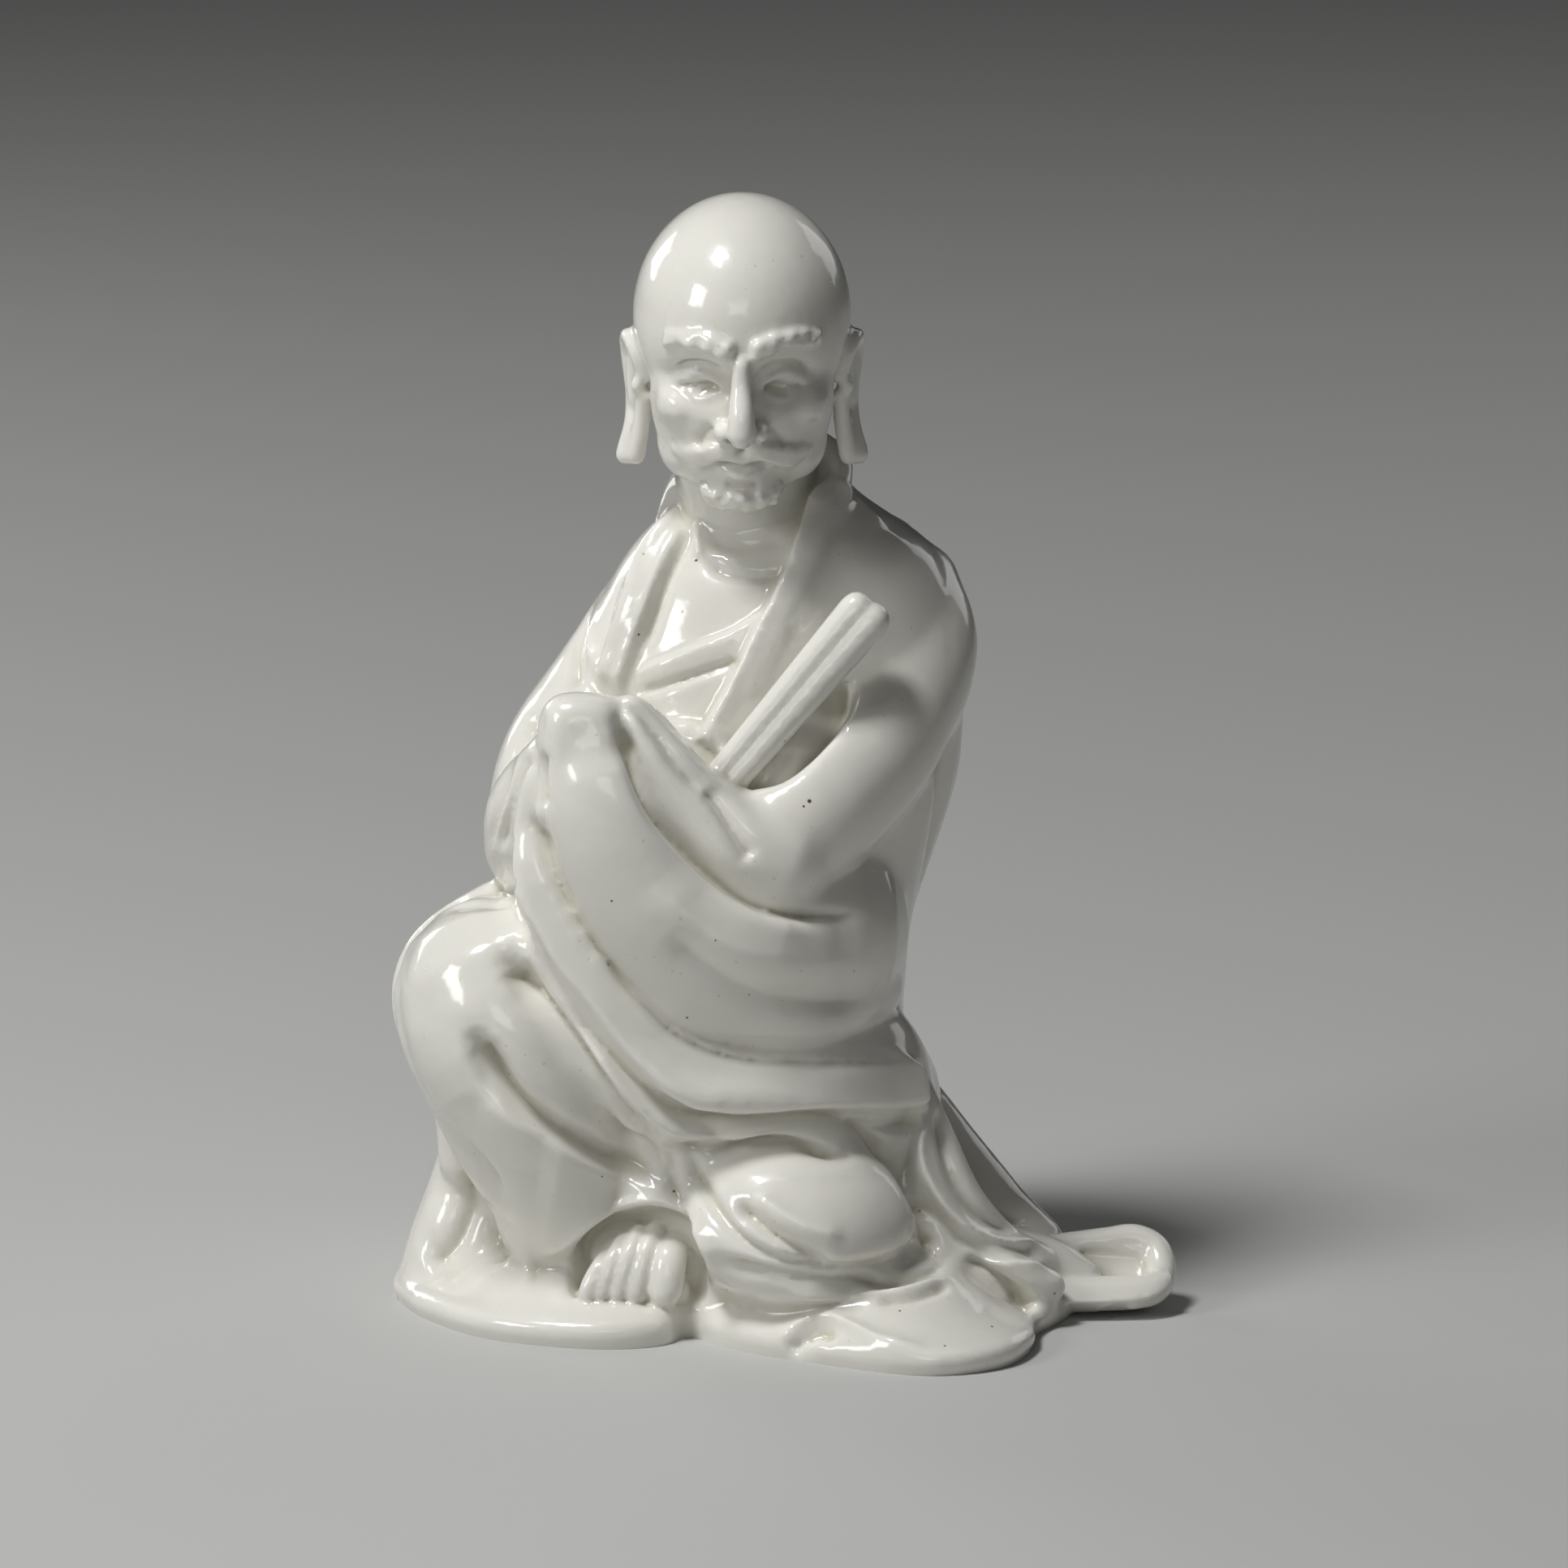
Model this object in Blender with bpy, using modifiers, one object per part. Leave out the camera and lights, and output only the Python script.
"""Seated monk in a loose robe, cast in white porcelain as one hollow piece.

The figure faces -Y and stands on z = 0. It is blocked in from rounded masses that a voxel remesh
fuses, as a sculptor adds clay. Folds are then cut and raised along lines laid out on four views,
and the hollow is cut from below. Sizes are in millimetres until objects are made.

The tables and the masses are a sketch in millimetres. The hem's width and depth and the height to
the neck stretch the sketch, and the sizes named after them hold whatever the sketch is stretched to.
"""

import math

import bmesh
import bpy
import numpy as np
from mathutils import Euler, Matrix, Vector
from mathutils.bvhtree import BVHTree

MM = 0.001

# The robe as a whole
HEM_WIDTH = 124.8
HEM_DEPTH = 114.5
NECK_HEIGHT = 151.0

# Robe and casting
HEM_THICKNESS = 4.4
TAIL_THICKNESS = 5.0
ROLL_RADIUS = 5.0
FOLD_DEPTH = 1.2
WALL = 8.0
FRONT_WALL = 19.0
TOP_WALL = 29.0
DOME_RISE = 36.0
SIGHT_TILT = 12.0

# Head and neck
HEAD_WIDTH = 38.0
HEAD_DEPTH = 44.0
HEAD_HEIGHT = 50.0
HEAD_RISE = 22.6
HEAD_BOW = 8.0
NECK_RADIUS = 11.0
EAR_LENGTH = 24.0

# Legs, arms, foot and scroll
KNEE_RADIUS = 19.0
SHIN_RADIUS = 16.0
LAP_RADIUS = 21.0
SKIRT_RADIUS = 13.0
LOWERED_KNEE_WIDTH = 46.0
ARM_RADIUS = 13.0
SLEEVE_RADIUS = 20.0
HAND_RADIUS = 6.0
FOOT_WIDTH = 20.0
SCROLL_RADIUS = 3.4
SCROLL_LENGTH = 46.0

# Meshing
COARSE_VOXEL = 1.1
FINE_VOXEL = 0.9
FACETS = 10400


def ridge(width, height, *line, behind=-99.0):
    """A ridge, or a groove where the height is below zero."""
    return "ridge", width, height, behind, line


def edge(width, height, *line, behind=-99.0):
    """A cloth edge that is raised on the line's left hand."""
    return "edge", width, height, behind, line


def pit(width, depth, *line):
    """A hollow inside a closed line."""
    return "pit", width, -depth, -99.0, line


def drop(width, height, *line):
    """A groove that starts abruptly and fades along the line."""
    return "drop", width, height, -99.0, line


# Folds on the front view. Widths are on the sketch, and heights are shares of the fold depth.
CHEST_FOLDS = (
    ridge(0.8, -0.8, (-14, 144.5), (-9, 144), (-5, 144), (0, 145), behind=-24),
    ridge(0.8, -1.1, (-14, 141.5), (-10, 139), (-5, 138.3), (-1, 139), (2, 141), behind=-24),
    edge(
        0.5, 2.5, (-28.5, 117), (-27, 121.5), (-25.2, 127), (-23, 133), (-20.5, 139), (-17.8, 144),
        (-15, 149), behind=-27,
    ),
    ridge(
        1.2, -1.9, (-20, 152), (-24, 147), (-27, 142), (-29.2, 136), (-30.6, 129), (-31.3, 123),
        behind=-27,
    ),
    ridge(
        1.2, 1.0, (-18.5, 152), (-21, 148), (-23.7, 143), (-26.2, 137), (-28.4, 131), (-30, 125),
        (-31, 120), behind=-27,
    ),
    ridge(0.9, -0.8, (-15.5, 150.5), (-17.5, 145), (-20.2, 139), (-22.4, 132), (-24.6, 126), behind=-27),
    ridge(1.3, -1.7, (-33, 138), (-35, 131), (-36, 125), (-36.4, 119), behind=-27),
    ridge(1.1, 1.0, (-31.5, 137), (-33, 130), (-33.8, 123), behind=-27),
    edge(
        0.45, 1.6, (-2.5, 133.8), (-6, 131), (-10, 128.6), (-15, 126.7), (-20, 124.6), (-26.5, 121.8),
        behind=-27,
    ),
    ridge(0.7, -1.1, (-7, 124), (-11, 122.8), (-16, 121), (-21, 119.4), (-27, 118.2), behind=-27),
    edge(
        0.5, 3.0, (8, 157), (5.6, 153), (3.4, 148), (1.2, 142.5), (-1.2, 137), (-3.6, 131.5), (-6.4, 126),
        (-9.2, 120.5), (-12.2, 115), (-15, 110.5), (-18, 106), behind=-27,
    ),
    ridge(1.5, 0.8, (9, 156), (13, 151), (17, 147)),
    ridge(0.6, 1.2, (-15.2, 148.4), (-15.1, 145), (-14.9, 141.8), behind=-24),
)

SLEEVE_FOLDS = (
    ridge(
        1.4, -3.2, (-28.5, 118), (-28.3, 113), (-27, 108), (-25.4, 103.5), (-23.4, 99), (-20.8, 95.3),
        (-17.6, 91.5), (-14, 87.6), (-10, 84.5), (-6, 82.2), (-2, 80.6), (3, 79.7), (8, 79.6), (12, 79.8),
    ),
    edge(
        1.4, 1.7, (9, 79.5), (3, 79), (-2, 79.8), (-6, 81), (-10, 83.5), (-14, 86.7), (-18, 90.5),
        (-22, 94.5), (-25, 99), (-27, 103.5), (-28.5, 108), (-29.5, 113),
    ),
    ridge(
        1.1, -1.6, (-28.5, 117), (-25, 115), (-22.7, 112.3), (-20.7, 109.3), (-19, 106.5), (-16.5, 103.6),
        (-12.5, 100),
    ),
    ridge(1.1, -1.8, (-10.8, 99), (-8.7, 94.8), (-7.2, 91)),
    ridge(3.2, -1.5, (-20, 77), (-15, 72), (-8, 67.5), (0, 65), (8, 64.5), (16, 65)),
    ridge(4.0, 0.8, (-22, 86), (-16, 79), (-8, 74), (2, 72), (12, 72)),
    pit(
        1.1, 4.6, (-6, 103), (-2, 106.5), (3, 112), (9.5, 118.5), (11, 117), (9, 113), (4, 107.5),
        (-1, 104),
    ),
    ridge(
        0.9, -2.0, (-42, 113), (-43.3, 110), (-43, 105), (-42, 98), (-41, 92), (-39.5, 87), (-37, 81),
        (-34, 76), (-31, 71.5), (-28, 67.5), (-24, 64), (-20, 60), (-15, 57), (-10, 55.2), (-5, 54.3),
        (0, 54.2), (5, 54), (11, 53.9), (17, 53.8), (22, 54),
    ),
    edge(
        0.5, 1.7, (22, 54), (17, 54.6), (11, 54.8), (5, 55), (0, 55.2), (-5, 55.4), (-10, 56.4),
        (-15, 58.2), (-20, 61.2), (-24, 65.1), (-28, 68.6), (-31, 72.7), (-34, 77.2), (-37, 82.3),
        (-39.6, 88.2), (-41, 94), (-42, 100),
    ),
    edge(
        0.6, 1.8, (-45.8, 107), (-46.3, 99), (-46.3, 92), (-45.5, 86), (-44.5, 81), (-42, 76), (-39, 70),
        (-35, 64.5), (-31, 59), (-27, 54.5), (-23, 51), (-20, 49), (-15, 47.3), (-10, 46.7), (0, 46.3),
        (10, 46), (18, 46), (25, 45.5),
    ),
    ridge(
        1.1, -2.1, (-41, 70.5), (-35, 61.5), (-29, 54.5), (-25, 50), (-20, 46.3), (-15, 44.8), (-10, 44.5),
        (0, 44.8), (10, 44.8), (20, 44),
    ),
    ridge(1.5, 1.5, (-36, 59.5), (-31, 53), (-26, 47.5), (-20, 43), (-15, 42), (-10, 42.2), (0, 43)),
    ridge(0.9, -1.3, (-37, 58.5), (-33, 51.5), (-28, 44.5), (-24, 39), (-21.5, 35)),
    ridge(1.1, -2.4, (-21, 39), (-15, 39), (-10, 39.8), (-5, 40.8), (1, 40.5), (6, 39), (12, 37.5)),
    ridge(1.1, -1.9, (-42, 115.5), (-45, 112), (-47.5, 107), (-49.5, 101), (-51, 95), (-52, 90)),
    ridge(1.0, -1.6, (-44.5, 108), (-46.8, 103), (-48.2, 97), (-49.5, 91)),
    ridge(0.9, 1.0, (-43.5, 112), (-46.5, 107), (-48.5, 100.5), (-50.3, 94), (-51.5, 88.5)),
    ridge(1.0, -1.3, (-41.8, 108), (-42.2, 103), (-41.6, 98)),
)

LEG_FOLDS = (
    ridge(3.2, -1.6, (-47.2, 71), (-41.5, 63.5), (-35.5, 55), (-29.5, 46.5), (-24.5, 40)),
    ridge(3.0, -1.6, (-53.4, 57), (-48, 49), (-40, 42.6), (-30, 37.2), (-21.5, 32.5)),
    drop(2.3, -4.8, (-47.2, 71.2), (-44.6, 67.6), (-41.6, 63.6), (-38, 59), (-34, 53.5), (-30, 48)),
    drop(
        2.2, -4.8, (-53.2, 57.6), (-51, 53.4), (-48, 49), (-44, 45.5), (-40, 42.6), (-35, 39.8),
        (-30, 37.2), (-25, 34.9), (-21.5, 32.5),
    ),
    ridge(2.2, 1.2, (-52, 51), (-48, 45), (-42, 41), (-35, 36.5), (-28, 33.5), (-22, 30.5)),
    ridge(5.5, -1.6, (-60, 46), (-55, 39), (-48, 34.5), (-40, 33)),
    ridge(
        0.9, -1.6, (-46, 81), (-50, 81.3), (-55, 81.5), (-60, 80.8), (-64, 77.5), (-67, 72.5),
        (-68.2, 68), (-68.2, 63), (-67, 57), (-65, 51), (-62, 45), (-59, 41), (-56, 37), (-53, 33.5),
        (-51, 30), (-50.5, 26),
    ),
    ridge(1.6, -1.3, (-50.5, 27), (-51, 22), (-50, 18.5)),
    ridge(3.0, -2.6, (-63.5, 17.5), (-59, 20.5), (-56.5, 24), (-55.5, 28), (-56.5, 34)),
    ridge(
        1.3, 1.2, (-44.5, 18.4), (-39, 21.8), (-34.8, 25.4), (-30.4, 28.2), (-26, 29.5), (-22.5, 29.8),
        (-18.6, 28.6), (-15.6, 25.4), (-13.4, 21), (-12.4, 15),
    ),
    pit(
        0.7, 4.2, (-41.6, 17.0), (-38.2, 20.2), (-34.6, 23.9), (-30.3, 26.6), (-26, 27.9), (-22.8, 28.2),
        (-19.4, 27.1), (-17, 24.4), (-15.1, 20.4), (-14.2, 15.6), (-15, 12), (-20, 11.8), (-28, 12.6),
        (-36, 13.8), (-39.8, 15),
    ),
    ridge(
        1.0, -2.6, (2, 44.9), (10, 43.3), (15, 40.4), (20, 35.8), (23.3, 31), (24.5, 27), (23.7, 22.5),
        (20.5, 20.3),
    ),
    ridge(1.0, -2.4, (-16, 36.5), (-13, 32), (-10, 28), (-7, 24)),
    ridge(1.0, -2.4, (-8.5, 30), (-5, 27), (-2, 24.5), (3, 21.5), (8, 19)),
    ridge(1.4, -1.6, (-20.5, 38), (-20, 33), (-18.5, 29), (-16, 24)),
    ridge(
        1.3, -2.2, (-13, 20), (-7, 18.3), (0, 16.5), (8, 15.6), (15, 15.8), (20, 16.5), (26, 18.3),
        (29, 20.5),
    ),
    ridge(0.9, 1.0, (0, 13.9), (8, 13.6), (15, 14.2), (22, 15.2), (28, 17)),
    ridge(0.7, -1.1, (16, 12.6), (23, 13.3), (29, 15.3)),
    ridge(1.3, -1.6, (23.5, 44), (20, 42.6), (16, 42.4), (11, 43)),
    ridge(
        1.2, -1.9, (27.6, 46), (27.8, 42), (28.6, 37), (30, 33), (32.2, 29.4), (35.2, 26.6), (39, 25),
        (44, 24.6),
    ),
    ridge(
        0.9, 1.3, (25, 45), (23.9, 41), (23.8, 37.3), (25.1, 33.3), (28, 28.7), (32, 24.8), (36.6, 22.5),
        (40.5, 22), (47, 22),
    ),
    ridge(
        1.3, -1.4, (22, 41), (21.6, 36.5), (23, 31.5), (25.8, 27), (29.4, 23.4), (34, 20.6), (39, 19.2),
    ),
    ridge(1.1, -2.2, (31.5, 19.6), (35, 17.4), (38.6, 14.6), (41.4, 12.2), (44, 10.4)),
    ridge(0.7, 0.9, (30, 22), (36.6, 18.9), (41.9, 18.2), (46.5, 18.2)),
    ridge(1.2, -2.1, (1, 3.5), (3, 6.2), (5.5, 7.8), (9, 7.2)),
    ridge(1.1, 1.2, (-1, 6), (2, 8), (5, 9.6), (8, 9.8), (12, 8.2), (17, 6), (24, 5.2)),
)

# Folds on the back, by x and z, and on each side, by y and z
BACK_FOLDS = (
    edge(1.2, 2.2, (26, 131), (19, 136), (8, 139.5), (-6, 140.5), (-18, 138), (-28, 131)),
    ridge(3.2, -2.7, (-30, 116), (-24, 98), (-13, 76), (0, 52), (9, 30), (13, 12)),
    ridge(2.8, 1.6, (-24, 118), (-18, 100), (-7, 78), (6, 54), (16, 32), (21, 13)),
    ridge(2.8, -2.2, (-38, 100), (-35, 78), (-28, 54), (-21, 32), (-18, 12)),
    ridge(2.6, -2.3, (20, 118), (19, 98), (17, 74), (20, 50), (27, 30), (34, 14)),
    ridge(2.8, -1.8, (-42, 62), (-38, 42), (-36, 24), (-38, 10)),
    ridge(2.4, 1.3, (-30, 70), (-27, 48), (-27, 28), (-30, 10)),
    ridge(2.2, -1.7, (-4, 34), (-2, 22), (-3, 9)),
)
RIGHT_FOLDS = (
    ridge(2.8, -2.3, (2, 112), (10, 92), (14, 70), (13, 50), (8, 38)),
    ridge(2.4, -1.9, (-10, 104), (-6, 88), (0, 74), (4, 62)),
    ridge(2.6, 1.4, (18, 108), (24, 84), (26, 58), (27, 36), (33, 16)),
    ridge(2.4, -1.9, (34, 84), (36, 58), (38, 34), (42, 14)),
)
LEFT_FOLDS = (
    ridge(2.8, -2.2, (10, 114), (8, 98), (2, 86), (-6, 78)),
    ridge(2.6, -2.1, (22, 108), (20, 84), (12, 62), (4, 48)),
    ridge(2.6, 1.4, (30, 96), (30, 70), (26, 46), (20, 26), (18, 12)),
    ridge(2.4, -1.8, (38, 80), (40, 54), (38, 32), (36, 12)),
)

# The robed body: height, left, right, front, back
BODY_LEVELS = (
    (-3, -50, 46, -32, 52),
    (6, -49, 42, -33, 50),
    (14, -47, 36, -34, 48.5),
    (22, -45, 30.5, -34, 47),
    (30, -44, 26, -34, 46),
    (38, -43, 23, -34, 45),
    (46, -43, 21, -33, 44),
    (57, -43, 21.4, -32, 43),
    (67, -44, 22.8, -30, 42.5),
    (75, -45, 25, -29, 42),
    (84, -45.5, 27.8, -28, 41),
    (91, -45, 30, -27, 40),
    (98, -43, 31.5, -25, 39),
    (107, -39, 32.3, -23, 37),
    (113, -36.5, 32.4, -21.5, 35),
    (119, -34.5, 31.8, -20, 32.5),
    (125, -32, 30.2, -18, 29.5),
    (130, -29.5, 28.2, -16, 27),
    (135, -26, 24.8, -13, 24),
    (139, -22, 19, -9.5, 21.5),
    (143, -17, 13, -5, 21),
    (147, -13, 9.5, 0, 20),
    (151, -10, 6.5, 4, 17),
)

# The hem on the floor from its left corner anticlockwise, seen from above
HEM_OUTLINE = (
    (-69.8, -6), (-65.5, -17), (-55, -31), (-42, -38), (-30, -40), (-21, -37), (-18.5, -30),
    (-17.5, -22), (-16, -30), (-12, -37), (-4, -44), (8, -51), (20, -57), (30, -57.5), (39, -52),
    (43.5, -42), (44.5, -31), (50, -20), (55, -4), (54, 14), (49, 34), (34, 50), (8, 57), (-20, 56),
    (-44, 48), (-60, 30), (-68, 10),
)


def spread(values):
    """How far the values reach from the lowest to the highest."""
    return max(values) - min(values)


# How far each axis of the sketch is stretched, and the even stretch of the same volume
STRETCH = (
    HEM_WIDTH / spread([x for x, _ in HEM_OUTLINE]),
    HEM_DEPTH / spread([y for _, y in HEM_OUTLINE]),
    NECK_HEIGHT / BODY_LEVELS[-1][0],
)
BULK = (STRETCH[0] * STRETCH[1] * STRETCH[2]) ** (1 / 3)


def smooth_through(points, steps):
    """Points on a smooth curve through the given ones, as a Catmull-Rom spline."""
    given = np.array(points, float)
    padded = np.vstack([2 * given[0] - given[1], given, 2 * given[-1] - given[-2]])
    along = np.linspace(0, len(given) - 1, steps)
    first = np.minimum(along.astype(int), len(given) - 2)
    t = (along - first)[:, None]
    p0, p1, p2, p3 = (padded[first + k] for k in range(4))
    return 0.5 * (
        2 * p1
        + (p2 - p0) * t
        + (2 * p0 - 5 * p1 + 4 * p2 - p3) * t**2
        + (3 * p1 - p0 - 3 * p2 + p3) * t**3
    )


def mesh_object(name, bm, collection):
    """A linked object holding the bmesh, with its faces pointing outwards."""
    bmesh.ops.recalc_face_normals(bm, faces=bm.faces)
    mesh = bpy.data.meshes.new(name)
    bm.to_mesh(mesh)
    bm.free()
    made = bpy.data.objects.new(name, mesh)
    collection.objects.link(made)
    return made


def ball(name, centre, radii, collection, turn=(0, 0, 0)):
    """An ellipsoid, turned by angles in degrees."""
    bm = bmesh.new()
    bmesh.ops.create_uvsphere(bm, u_segments=40, v_segments=20, radius=1.0)
    turned = Euler([math.radians(a) for a in turn]).to_matrix().to_4x4()
    size = Matrix.Diagonal([r * MM for r in radii] + [1.0])
    bm.transform(Matrix.Translation(Vector(centre) * MM) @ turned @ size)
    return mesh_object(name, bm, collection)


def loft(name, rings, collection):
    """A closed skin over rings of points, with a flat cap at each end."""
    bm = bmesh.new()
    rows = [[bm.verts.new(Vector(p) * MM) for p in ring] for ring in rings]
    for low, high in zip(rows, rows[1:]):
        for k in range(len(low)):
            n = (k + 1) % len(low)
            bm.faces.new((low[k], low[n], high[n], high[k]))
    bm.faces.new(rows[0][::-1])
    bm.faces.new(rows[-1])
    return mesh_object(name, bm, collection)


def limb(name, stations, collection):
    """A tapered limb with round ends, through stations of x, y, z and radius."""
    line = smooth_through(stations, 8 * len(stations))
    centres, radii = line[:, :3], np.maximum(line[:, 3], 0.01 * line[:, 3].max())
    tangents = np.gradient(centres, axis=0)
    tangents /= np.linalg.norm(tangents, axis=1)[:, None]
    side = np.cross(tangents, (0.13, 0.97, 0.21))
    side /= np.linalg.norm(side, axis=1)[:, None]
    depth = np.cross(side, tangents)
    angles = np.linspace(0, 2 * math.pi, 28, endpoint=False)[:, None]
    places = [(0, k) for k in (-0.98, -0.8, -0.45)]
    places += [(i, 0.0) for i in range(len(line))]
    places += [(len(line) - 1, k) for k in (0.45, 0.8, 0.98)]
    rings = []
    for i, k in places:
        centre = centres[i] + tangents[i] * radii[i] * k
        radius = radii[i] * math.sqrt(1 - k * k)
        rings.append(centre + radius * (np.cos(angles) * side[i] + np.sin(angles) * depth[i]))
    return loft(name, rings, collection)


def sheet(name, rows, thickness, collection):
    """A bent sheet of even thickness through rows of points."""
    grid = smooth_through(np.array(rows, float).reshape(len(rows), -1), 5 * len(rows))
    grid = grid.reshape(len(grid), -1, 3)
    bm = bmesh.new()
    verts = [[bm.verts.new(Vector(p) * MM) for p in smooth_through(row, 24)] for row in grid]
    for low, high in zip(verts, verts[1:]):
        for k in range(len(low) - 1):
            bm.faces.new((low[k], low[k + 1], high[k + 1], high[k]))
    bent = mesh_object(name, bm, collection)
    solid = bent.modifiers.new("thicken", "SOLIDIFY")
    solid.thickness = thickness * MM
    solid.offset = 0.0
    return settle(bent, collection)


def oval(z, left, right, front, back):
    """A level ring that touches the four given sides, a little squarer than an ellipse."""
    angles = np.linspace(0, 2 * math.pi, 72, endpoint=False)
    c, s = np.cos(angles), np.sin(angles)
    x = (left + right) / 2 + (right - left) / 2 * np.sign(c) * np.abs(c) ** 0.87
    y = (front + back) / 2 + (back - front) / 2 * np.sign(s) * np.abs(s) ** 0.87
    return np.stack([x, y, np.full_like(x, z)], axis=1)


def body(collection):
    """The robed body, from its level rings."""
    levels = smooth_through(BODY_LEVELS, 70)
    loft("robed_body", [oval(*level) for level in levels], collection)


def collar(collection):
    """The rolled collar that passes behind the neck."""
    c = 0.7 * ROLL_RADIUS / BULK
    stations = [
        (-30.5, -10, 114, 0.4 * c),
        (-26, -9.5, 125, 0.52 * c),
        (-22, -4, 135, 0.68 * c),
        (-18.5, 4, 144, 0.83 * c),
        (-13, 13, 150, 0.94 * c),
        (-5, 17.5, 152.5, c),
        (4, 14, 151, 0.94 * c),
        (9.5, 4, 148, 0.83 * c),
        (6.5, -5.5, 141, 0.63 * c),
        (3.5, -13, 133, 0.52 * c),
        (-1, -17.5, 124, 0.43 * c),
        (-6, -20.6, 114, 0.35 * c),
    ]
    limb("collar", stations, collection)


def hem(collection):
    """The hem's slab, with the cloth that sweeps up from it and waves behind."""
    closed = HEM_OUTLINE + HEM_OUTLINE[:3]
    outline = smooth_through(closed, 8 * len(closed))[8:-16][:-1]
    middle = np.array([-8.0, 2.0])
    angles = np.arctan2(outline[:, 1] - middle[1], outline[:, 0] - middle[0])
    behind = np.clip(np.sin(angles) * 2, 0, 1)
    outline = middle + (outline - middle) * (1 + 0.022 * behind * np.sin(11 * angles))[:, None]
    t = HEM_THICKNESS / BULK
    profile = [(-0.7 * t, 0.97), (0.07 * t, 0.98), (0.36 * t, 0.998), (0.7 * t, 1.0), (t, 0.985)]
    profile += [(1.23 * t, 0.935), (1.57 * t, 0.87), (2.36 * t, 0.78), (3.27 * t, 0.7)]
    rings = []
    for z, share in profile:
        wave = 1 + 0.1 * (1 - share) * behind * np.sin(11 * angles)
        flat = middle + (outline - middle) * (share * wave)[:, None]
        rings.append(np.column_stack([flat, np.full(len(flat), z)]))
    loft("hem", rings, collection)


def arms(collection):
    """Both sleeved arms, which meet in front of the chest."""
    a = ARM_RADIUS / BULK
    limb("left_upper_arm", [
        (21.5, 9, 125, 0.77 * a),
        (22, 0, 116, 0.92 * a),
        (15, -12, 104, a),
        (6, -22, 95, a),
        (-2, -28, 88, 0.92 * a),
    ], collection)
    limb("left_forearm", [
        (-2, -30, 87, 0.85 * a),
        (-9, -33, 90, 0.65 * a),
        (-15, -34, 96, 0.5 * a),
        (-21, -35, 104, 0.38 * a),
        (-27, -35, 112, 0.31 * a),
    ], collection)
    limb("right_upper_arm", [
        (-24, 10, 120, 0.77 * a),
        (-30, 3, 110, 0.85 * a),
        (-38, -6, 98, 0.92 * a),
        (-42, -12, 86, 0.85 * a),
    ], collection)
    limb("right_forearm", [
        (-42, -10, 84, 0.85 * a),
        (-42, -20, 92, 0.77 * a),
        (-38, -28, 101, 0.62 * a),
        (-34, -32, 108, 0.54 * a),
    ], collection)
    ball("crook", (-38, -20, 76), (0.62 * a, a, a), collection)
    ball("gathered_cloth", (-9, -24, 84), (1.46 * a, 0.77 * a, 0.8 * a), collection)
    ball("chest_cloth", (-19, -23, 97), (0.95 * a, 0.55 * a, 0.85 * a), collection)


def hands(collection):
    """The covered hands, the wide sleeve that hangs from them and the robe's border."""
    h, w, r = HAND_RADIUS / BULK, SLEEVE_RADIUS / BULK, ROLL_RADIUS / BULK
    limb("hand_left", [(-37.6, -34, 96, h), (-37.4, -35, 110, 0.92 * h)], collection)
    limb("hand_right", [(-31.3, -34, 96, h), (-32.6, -35, 110, 0.92 * h)], collection)
    limb("hand_top", [(-37.4, -35, 111, 0.88 * h), (-32.8, -35, 111, 0.88 * h)], collection)
    limb("hanging_sleeve", [
        (-35, -33, 106, 0.4 * w),
        (-31, -33, 96, 0.55 * w),
        (-22, -29, 80, 0.75 * w),
        (-10, -24, 72, 0.95 * w),
        (2, -16, 70, w),
    ], collection)
    sheet("robe_border", [
        [(-40, -29, 101), (-42.6, -28, 101.6), (-45, -27, 102)],
        [(-38.5, -32, 82), (-41.6, -31.2, 79.6), (-44.5, -31, 76.4)],
        [(-32.5, -34, 70), (-36, -33.4, 67.4), (-39, -33.6, 63.6)],
        [(-22, -35, 60), (-27, -35, 56.4), (-31.5, -36.2, 52)],
        [(-6, -34, 54.5), (-13.5, -35, 49.6), (-20, -37.4, 44.6)],
        [(6, -31, 52.5), (2.4, -32.6, 47.8), (-2, -35.4, 43)],
        [(17, -26, 50), (15.2, -27, 45.6), (13, -29, 41)],
        [(24, -19, 46), (24.6, -20, 42.6), (25, -21.8, 39.2)],
    ], r, collection)


def legs(collection):
    """The raised shin at the left, the lap, and the lowered knee at the right."""
    k, s, p = KNEE_RADIUS / BULK, SHIN_RADIUS / BULK, LAP_RADIUS / BULK
    limb("raised_shin", [
        (-50, -17, 57, k),
        (-47, -19, 50, k),
        (-43, -20, 38, 1.06 * s),
        (-38, -16, 25, 0.94 * s),
        (-36, -11, 12, 0.87 * s),
    ], collection)
    limb("knee_cloth", [
        (-46, -26, 68, 0.35 * s),
        (-40, -30, 61.5, 0.43 * s),
        (-33, -31.5, 53.5, 0.46 * s),
        (-25.5, -31.5, 45.5, 0.46 * s),
        (-18, -29.5, 38.5, 0.44 * s),
    ], collection)
    limb("lap_cloth", [
        (20, -15, 39, 0.42 * s),
        (22.5, -17, 32, 0.45 * s),
        (26, -19, 24, 0.45 * s),
        (30, -20, 16, 0.42 * s),
    ], collection)
    limb("lap", [
        (-40, -8, 52, 0.95 * p),
        (-18, -14, 48, p),
        (2, -14, 42, p),
        (8, -4, 36, 0.95 * p),
    ], collection)
    w = LOWERED_KNEE_WIDTH / 2 / BULK
    ball("lowered_knee", (2, -23.2, 21.2), (w, 1.11 * w, 0.73 * w), collection, (8, 8, 0))


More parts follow.
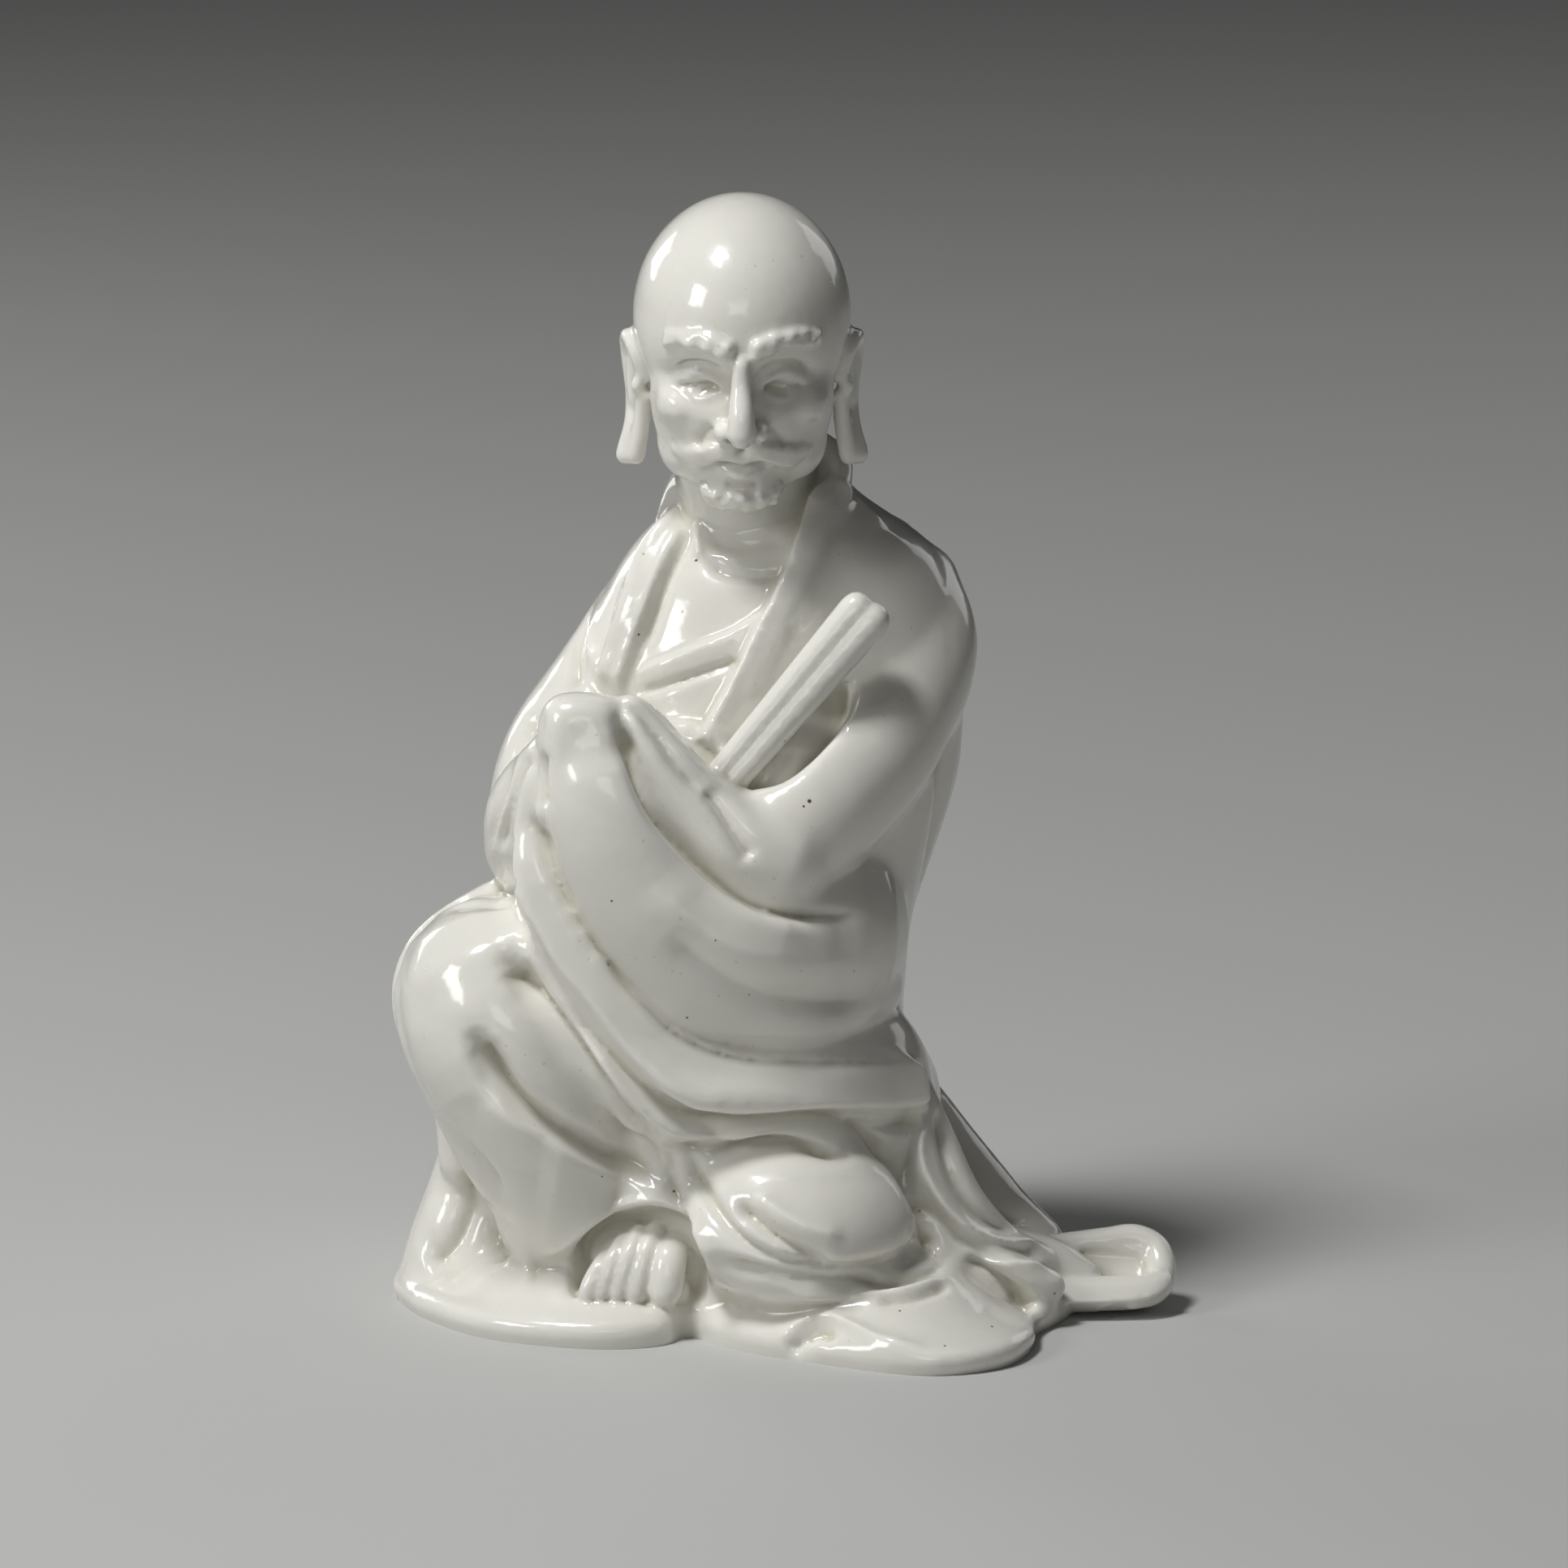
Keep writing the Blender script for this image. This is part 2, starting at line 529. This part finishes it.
def skirts(collection):
    """The cloth that falls beside the legs, and the fold that runs out to the tail."""
    r, k = ROLL_RADIUS / BULK, SKIRT_RADIUS / BULK
    limb("robe_rim", [
        (-46, -6, 74, r),
        (-54, -7, 70, r),
        (-62, -9, 64, r),
        (-65.5, -10, 56, 0.8 * r),
        (-63, -9, 46, 0.8 * r),
        (-58.5, -7, 36, 0.8 * r),
        (-56, -6, 26, 1.1 * r),
    ], collection)
    limb("left_skirt", [
        (-49, 0, 58, k),
        (-49, 0, 42, 0.92 * k),
        (-50, 0, 29, 0.81 * k),
        (-53, 0, 18, 0.81 * k),
        (-56.5, -2, 9, 0.81 * k),
        (-59, -4, 2, 0.77 * k),
    ], collection)
    sheet("left_drape", [
        [(-60, -6, 70), (-51, 6, 72), (-41, 18, 76)],
        [(-62, -6, 52), (-53, 8, 54), (-42, 22, 56)],
        [(-56, -4, 36), (-50, 10, 38), (-43, 25, 40)],
        [(-57, 0, 20), (-53, 13, 21), (-46, 28, 22)],
        [(-61, 0, 3), (-57, 15, 3), (-50, 32, 3)],
    ], 1.4 * r, collection)
    limb("right_ridge", [
        (24, -14, 39, 0.6 * r),
        (26, -18, 33, 0.8 * r),
        (30, -20, 22, r),
        (37, -18, 13, r),
        (46, -14, 8, 0.8 * r),
    ], collection)
    limb("right_skirt", [
        (18, 8, 34, 0.7 * k),
        (26, 8, 23, 0.7 * k),
        (34, 4, 14, 0.7 * k),
        (44, -1, 9, 0.46 * k),
    ], collection)
    limb("flap", [
        (31, -24, 14.5, 0.6 * r),
        (36.6, -25, 11.2, 0.64 * r),
        (42, -24.5, 9.2, 0.66 * r),
        (46.6, -23, 7.2, 0.62 * r),
    ], collection)


def tail(collection):
    """The robe's trailing end at the right, a sheet scooped up like a leaf."""
    middle = [
        (-18.2, 2.4),
        (-17.6, 4.6),
        (-14.6, 3.2),
        (-11.2, 2.8),
        (-8.2, 5.2),
        (-6.2, 8.6),
        (-6.4, 11.4),
    ]
    tip = (-12.0, 6.0)
    stations = [(34, 1), (42, 1), (50, 1), (56, 0.98), (61, 0.92), (64.4, 0.78), (66.4, 0.5), (67.2, 0.2)]
    rows = []
    for x, share in stations:
        rows.append([(x, tip[0] + (y - tip[0]) * share, tip[1] + (z - tip[1]) * share) for y, z in middle])
    sheet("tail", rows, TAIL_THICKNESS / BULK, collection)


def scroll(collection):
    """The rolled scroll tucked into the crook of the arm, wider at its free end, with its loose edge."""
    radius, length = SCROLL_RADIUS / BULK, SCROLL_LENGTH / BULK
    start = Vector((-14.5, -31, 92.5))
    along = Vector((27.5, 6, 31.8)).normalized()
    aside = along.cross(Vector((0, 1, 0))).normalized()
    for name, place, size in (("scroll", 0.38, 0.95), ("scroll_edge", -0.9, 0.64)):
        stations = []
        for share, wider in ((0, 0.9), (0.5, 1.04), (0.94, 1.2), (1, 1.2)):
            at = start + along * length * share + aside * radius * place * wider
            stations.append((*at, radius * size * wider))
        limb(name, stations, collection)


def foot(collection):
    """The right foot on the hem, with five toes, each from its root to its tip."""
    w = FOOT_WIDTH / 2 / BULK
    ball("foot", (-26, -21.5, 12.4), (0.94 * w, 0.9 * w, 0.86 * w), collection)
    for top, height, tip, share in (
        (-31.2, 16.6, -34.2, 0.17),
        (-29.2, 19.0, -31.8, 0.175),
        (-26.8, 20.6, -28.9, 0.185),
        (-24.0, 21.0, -25.7, 0.2),
        (-20.4, 20.0, -20.6, 0.32),
    ):
        r = share * w
        limb("toe", [
            (top, -26, height - r, 0.9 * r),
            (0.45 * top + 0.55 * tip, -30.4, 0.5 * height + 5, r),
            (tip, -32.2, 9.6, r),
            (tip - 0.3, -32.2, 6.6 + 0.3 * r, 0.9 * r),
        ], collection)


def skull(collection):
    """Skull, brow, cheeks and jaw, about the skull's middle."""
    ball("cranium", (0, 1, 4), (19, 22, 21), collection)
    ball("face", (0, -6.6, -8), (16, 13.5, 19.2), collection)
    ball("chin", (0, -11.6, -21.2), (8, 7.4, 6.8), collection)
    ball("brow_ridge", (0, -10.5, 2.2), (13.5, 8.6, 5.2), collection)
    for s in (-1, 1):
        ball("cheek", (s * 8.6, -11.6, -7.8), (6.4, 6.2, 5.6), collection)
        ball("jaw", (s * 8.8, -6.4, -16.5), (6, 8.4, 7), collection)


def features(skin, ear_length, collection):
    """Nose, lips, eyes, ears, brows, moustache and beard, each seated on the skin in front of it."""
    tree = BVHTree.FromPolygons([v.co for v in skin.vertices], [tuple(p.vertices) for p in skin.polygons])

    def on(x, z, lift, radius):
        hit = tree.ray_cast(Vector((x, -60, z)) * MM, Vector((0, 1, 0)))[0]
        return x, hit.y / MM - lift, z, radius

    limb("nose", [
        on(0, 1.6, 0.2, 1.6),
        on(0, -2.6, 1.9, 1.9),
        on(0, -6.8, 3.6, 2.3),
        on(0, -10, 4, 2.7),
    ], collection)
    limb("upper_lip", [on(-5, -16.6, 0, 0.9), on(0, -16, 0.6, 1.2), on(5, -16.6, 0, 0.9)], collection)
    limb("lower_lip", [on(-4.4, -18.4, 0, 0.9), on(0, -19.2, 0.5, 1.6), on(4.4, -18.4, 0, 0.9)], collection)
    ball("beard", on(0, -24.2, -1.4, 0)[:3], (7.2, 2.6, 2.8), collection)
    for s in (-1, 1):
        ball("nostril", on(s * 3.1, -10.6, 1.2, 0)[:3], (1.9, 2.5, 1.8), collection, (0, s * 14, 0))
        ball("eyeball", on(s * 7.3, -2.6, -1.9, 0)[:3], (4.2, 3.3, 3.3), collection)
        lid = [(3.2, -3.4, 0.2, 0.7), (7.5, -0.9, 1, 1), (11.6, -3.4, 0, 0.7)]
        limb("upper_lid", [on(s * x, z, lift, r) for x, z, lift, r in lid], collection)
        lid = [(3.4, -3.8, 0, 0.6), (8, -5.6, 0.3, 0.8), (11.2, -3.9, -0.1, 0.6)]
        limb("lower_lid", [on(s * x, z, lift, r) for x, z, lift, r in lid], collection)
        brow = [(2.8, 4.2, 0.3, 1.5), (8, 5.7, 0.3, 1.7), (13.2, 4.6, 0.3, 1.2)]
        limb("brow", [on(s * x, z, lift, r) for x, z, lift, r in brow], collection)
        wing = [(1, -13.8, 0.3, 1.1), (4, -14.8, 0.4, 1.6), (8, -15.8, 0.4, 1.5), (11.6, -16, 0.2, 0.8)]
        limb("moustache", [on(s * x, z, lift, r) for x, z, lift, r in wing], collection)
        ear(s, ear_length, collection)


def ear(s, length, collection):
    """A long-lobed ear on the side s: its rim, its front edge, the fold within it and its floor."""
    limb("ear_rim", [
        (s * 17, -2.4, -6.5, 1.2),
        (s * 18.5, -1.9, -2.2, 1.4),
        (s * 19.7, 1.6, -0.4, 1.5),
        (s * 20.1, 5, -2.2, 1.5),
        (s * 19.7, 6.2, -6.6, 1.5),
        (s * 18.9, 4.8, -11.6, 1.7),
        (s * 18.7, 2.2, -16.4, 2.0),
        (s * 19.6, 0.6, 2.6 - length, 2.1),
    ], collection)
    limb("ear_front", [
        (s * 17, -1.8, -10, 1.6),
        (s * 17.4, -1, -14.5, 1.9),
        (s * 18.8, -0.2, 2.8 - length, 1.9),
    ], collection)
    limb("ear_fold", [
        (s * 19.3, 2.9, -3.2, 0.9),
        (s * 19.5, 3.6, -7.6, 1),
        (s * 19.1, 2.2, -12.2, 1),
    ], collection)
    ball("ear_floor", (s * 17.8, 2, -7.6), (1.5, 4.4, 7.2), collection)
    ball("ear_tab", (s * 18.2, -2.2, -8.2), (1.3, 1.2, 1.7), collection)


def head(collection):
    """The bowed head, sketched on a skull 38 wide, 44 deep and 50 high and then brought to its sizes."""
    sizes = (HEAD_WIDTH / 38, HEAD_DEPTH / 44, HEAD_HEIGHT / 50)
    lumps = bpy.data.collections.new("head_lumps")
    skull(lumps)
    bare = fuse("bare_skull", list(lumps.objects), 0.7, 3, lumps)
    sockets = []
    for s in (-1, 1):
        turns = np.linspace(0, 2 * math.pi, 12, endpoint=False)
        around = [(s * (7.4 + 5 * math.cos(a)), -2.6 + 3.4 * math.sin(a)) for a in turns]
        sockets.append(pit(1.5, 1.8, *around))
    carve(bare, [(sockets, (1, 0, 0), (0, 0, 1), (0, -1, 0), 0.0)], (1, 1, 1))
    for lump in list(lumps.objects):
        if lump != bare:
            bpy.data.objects.remove(lump)
    features(bare.data, EAR_LENGTH / sizes[2], lumps)
    x, y, z = head_centre()
    place = Matrix.Translation(Vector((x, y, z)) * MM) @ Matrix.Rotation(math.radians(HEAD_BOW), 4, "X")
    place = place @ Matrix.Diagonal((*sizes, 1.0))
    for lump in list(lumps.objects):
        lump.data.transform(place)
        lumps.objects.unlink(lump)
        collection.objects.link(lump)
    bpy.data.collections.remove(lumps)


def head_centre():
    """Where the skull's middle stands, over the front half of the neck."""
    return -7.5 * STRETCH[0], -8 * STRETCH[1], NECK_HEIGHT + HEAD_RISE


def neck(collection):
    """The short neck, from the chest up into the skull."""
    x, y, z = (at / k for at, k in zip(head_centre(), STRETCH))
    r = NECK_RADIUS / BULK
    top = (HEAD_RISE + 27) / STRETCH[2]
    limb("neck", [
        (x + 1.5, y + 12, z - top, 1.27 * r),
        (x + 1, y + 11, z - 0.72 * top, 1.05 * r),
        (x, y + 6, z - 0.28 * top, 1.14 * r),
    ], collection)


def fuse(name, sources, voxel, smoothing, collection):
    """One closed mesh around the given objects, softened as a glaze would."""
    joined = bmesh.new()
    for source in sources:
        joined.from_mesh(source.data)
    rough = mesh_object(name, joined, collection)
    remesh = rough.modifiers.new("fuse", "REMESH")
    remesh.mode = "VOXEL"
    remesh.voxel_size = voxel * MM
    smooth = rough.modifiers.new("soften", "SMOOTH")
    smooth.iterations = smoothing
    return settle(rough, collection)


def settle(thing, collection):
    """The object with its modifiers worked into a plain mesh."""
    graph = bpy.context.evaluated_depsgraph_get()
    mesh = bpy.data.meshes.new_from_object(thing.evaluated_get(graph))
    name = thing.name
    bpy.data.objects.remove(thing)
    made = bpy.data.objects.new(name, mesh)
    collection.objects.link(made)
    return made


def nearest_on(line, points):
    """Distance to a line, the share of its length at the nearest point, and which side, 1 on its left."""
    best = np.full(len(points), np.inf)
    share = np.zeros(len(points))
    left = np.ones(len(points))
    for k in range(len(line) - 1):
        a, step = line[k], line[k + 1] - line[k]
        t = np.clip((points - a) @ step / (step @ step), 0, 1)
        gap = points - a - t[:, None] * step
        far = np.hypot(gap[:, 0], gap[:, 1])
        near = far < best
        best[near] = far[near]
        share[near] = (k + t[near]) / (len(line) - 1)
        left[near] = np.sign(step[0] * gap[near, 1] - step[1] * gap[near, 0])
    return best, share, left


def inside(outline, points):
    """Which points the closed outline surrounds, by counting crossings."""
    odd = np.zeros(len(points), bool)
    for a, b in zip(outline, np.roll(outline, -1, axis=0)):
        spans = (a[1] > points[:, 1]) != (b[1] > points[:, 1])
        rise = b[1] - a[1] if b[1] != a[1] else 1e-9
        odd ^= spans & (points[:, 0] < a[0] + (points[:, 1] - a[1]) * (b[0] - a[0]) / rise)
    return odd


def fold_heights(folds, plane, y):
    """How far each point of a view is raised or cut by the folds laid out on it."""
    height = np.zeros(len(plane))
    for kind, width, tall, behind, points in folds:
        line = smooth_through(points + points[:1] if kind == "pit" else points, 5 * len(points))
        reach = 8.0 if kind == "edge" else 3 * width
        low, high = line.min(axis=0) - 2.5 * reach, line.max(axis=0) + 2.5 * reach
        spot = np.flatnonzero(np.all((plane > low) & (plane < high), axis=1) & (y > behind))
        if not len(spot):
            continue
        far, share, left = nearest_on(line, plane[spot])
        ends = np.minimum(1, np.minimum(share, 1 - share) * 7 + 0.12)
        if kind == "ridge":
            height[spot] += tall * ends * np.exp(-((far / width) ** 1.3))
        elif kind == "drop":
            fading = np.minimum(1, 0.5 + share * 12) * (1 - share) ** 0.7
            height[spot] += tall * fading * np.exp(-((far / width) ** 1.6))
        elif kind == "edge":
            signed = far * left
            lifted = 0.5 * (1 + np.tanh(signed / width)) * np.exp(-np.maximum(signed, 0) / reach)
            height[spot] += tall * ends * lifted
        else:
            signed = np.where(inside(line, plane[spot]), far, -far)
            height[spot] += tall * 0.5 * (1 + np.tanh(signed / width))
    return height * FOLD_DEPTH


def carve(thing, views, stretch):
    """Cuts and raises the folds of each view along the surface's own directions."""
    mesh = thing.data
    count = len(mesh.vertices)
    spots = np.empty(count * 3)
    normals = np.empty(count * 3)
    mesh.vertices.foreach_get("co", spots)
    mesh.vertices.foreach_get("normal", normals)
    spots, normals = spots.reshape(-1, 3) / MM, normals.reshape(-1, 3)
    drawn = spots / np.array(stretch)
    moved = spots.copy()
    for folds, across, up, toward, lift in views:
        plane = np.column_stack([drawn @ np.array(across), drawn @ np.array(up) + lift])
        facing = np.clip(normals @ np.array(toward) * 2.2 - 0.1, 0, 1)
        moved += (fold_heights(folds, plane, drawn[:, 1]) * facing)[:, None] * normals
    mesh.vertices.foreach_set("co", (moved * MM).ravel())
    mesh.update()


def robe_views():
    """The four views of the robe: folds, axis across, axis up, where it looks from, and its zero."""
    tilt = math.radians(SIGHT_TILT)
    s, c = math.sin(tilt), math.cos(tilt)
    front = CHEST_FOLDS + SLEEVE_FOLDS + LEG_FOLDS
    return [
        (front, (1, 0, 0), (0, s, c), (0, -c, s), 12.06),
        (BACK_FOLDS, (1, 0, 0), (0, 0, 1), (0, 1, 0), 0.0),
        (RIGHT_FOLDS, (0, 1, 0), (0, 0, 1), (1, 0, 0), 0.0),
        (LEFT_FOLDS, (0, 1, 0), (0, 0, 1), (-1, 0, 0), 0.0),
    ]


def hollow(collection):
    """The space inside the figure, open below and domed above, a wall's thickness in from the body."""
    levels = np.array(BODY_LEVELS, float) * [STRETCH[2], STRETCH[0], STRETCH[0], STRETCH[1], STRETCH[1]]
    top = NECK_HEIGHT - TOP_WALL
    dome = top - DOME_RISE
    heights = [dome * k for k in (-0.09, 0.09, 0.28, 0.47, 0.65, 0.84)]
    heights += [dome + DOME_RISE * k for k in (0, 0.3, 0.55, 0.75, 0.9, 0.98)]
    rings = []
    for z in heights:
        left, right, front, back = (np.interp(z, levels[:, 0], levels[:, k]) for k in range(1, 5))
        ring = oval(z, left + WALL, right - WALL, front + FRONT_WALL, back - WALL)[::3]
        rise = max((z - dome) / DOME_RISE, 0)
        centre = ring.mean(axis=0)
        rings.append(centre + (ring - centre) * math.sqrt(1 - rise * rise))
    return loft("hollow", rings, collection)


def cut(thing, name, cutter):
    """Takes the cutter's shape out of the thing."""
    cutter.hide_render = True
    cutter.display_type = "WIRE"
    boolean = thing.modifiers.new(name, "BOOLEAN")
    boolean.operation = "DIFFERENCE"
    boolean.solver = "EXACT"
    boolean.object = cutter


def porcelain():
    """Plain white glazed porcelain."""
    material = bpy.data.materials.new("white_porcelain")
    material.use_nodes = True
    shader = material.node_tree.nodes["Principled BSDF"]
    shader.inputs["Base Color"].default_value = (0.82, 0.81, 0.76, 1.0)
    shader.inputs["Roughness"].default_value = 0.12
    shader.inputs["Coat Weight"].default_value = 0.6
    return material


def build(collection, builders):
    """Builds masses on the sketch and stretches them to the robe's sizes."""
    for builder in builders:
        builder(collection)
    for mass in collection.objects:
        mass.data.transform(Matrix.Diagonal((*STRETCH, 1.0)))


def main():
    for old in list(bpy.data.objects):
        bpy.data.objects.remove(old)
    scene = bpy.context.scene.collection
    masses = bpy.data.collections.new("masses")
    cutters = bpy.data.collections.new("cutters")
    figure = bpy.data.collections.new("seated_monk_figure")
    for made in (masses, cutters, figure):
        scene.children.link(made)
    build(masses, (body, collar, hem, arms, hands, legs, skirts, neck))
    blank = fuse("blank", list(masses.objects), COARSE_VOXEL, 12, figure)
    carve(blank, robe_views(), STRETCH)
    for mass in list(masses.objects):
        bpy.data.objects.remove(mass)
    build(masses, (tail, scroll, foot))
    head(masses)
    whole = fuse("whole", [blank] + list(masses.objects), FINE_VOXEL, 1, figure)
    for spent in [blank] + list(masses.objects):
        bpy.data.objects.remove(spent)
    bpy.data.collections.remove(masses)

    fewer = whole.modifiers.new("fewer_facets", "DECIMATE")
    fewer.ratio = FACETS / (2 * len(whole.data.polygons))
    whole = settle(whole, figure)
    whole.name = "monk_figure"
    whole.data.materials.append(porcelain())
    corners = np.array([v.co for v in whole.data.vertices if v.co.z > 0])
    middle = (corners.min(axis=0) + corners.max(axis=0)) / 2
    centred = Matrix.Translation((-middle[0], -middle[1], 0))
    space = hollow(cutters)
    bm = bmesh.new()
    size = 3 * HEM_WIDTH * MM
    bmesh.ops.create_cube(bm, size=size, matrix=Matrix.Translation((0, 0, -size / 2)))
    below = mesh_object("below_floor", bm, cutters)
    for thing in (whole, space, below):
        thing.data.transform(centred)
    cut(whole, "hollow", space)
    cut(whole, "floor", below)
    whole.modifiers.new("triangles", "TRIANGULATE")


if __name__ == "__main__":
    main()
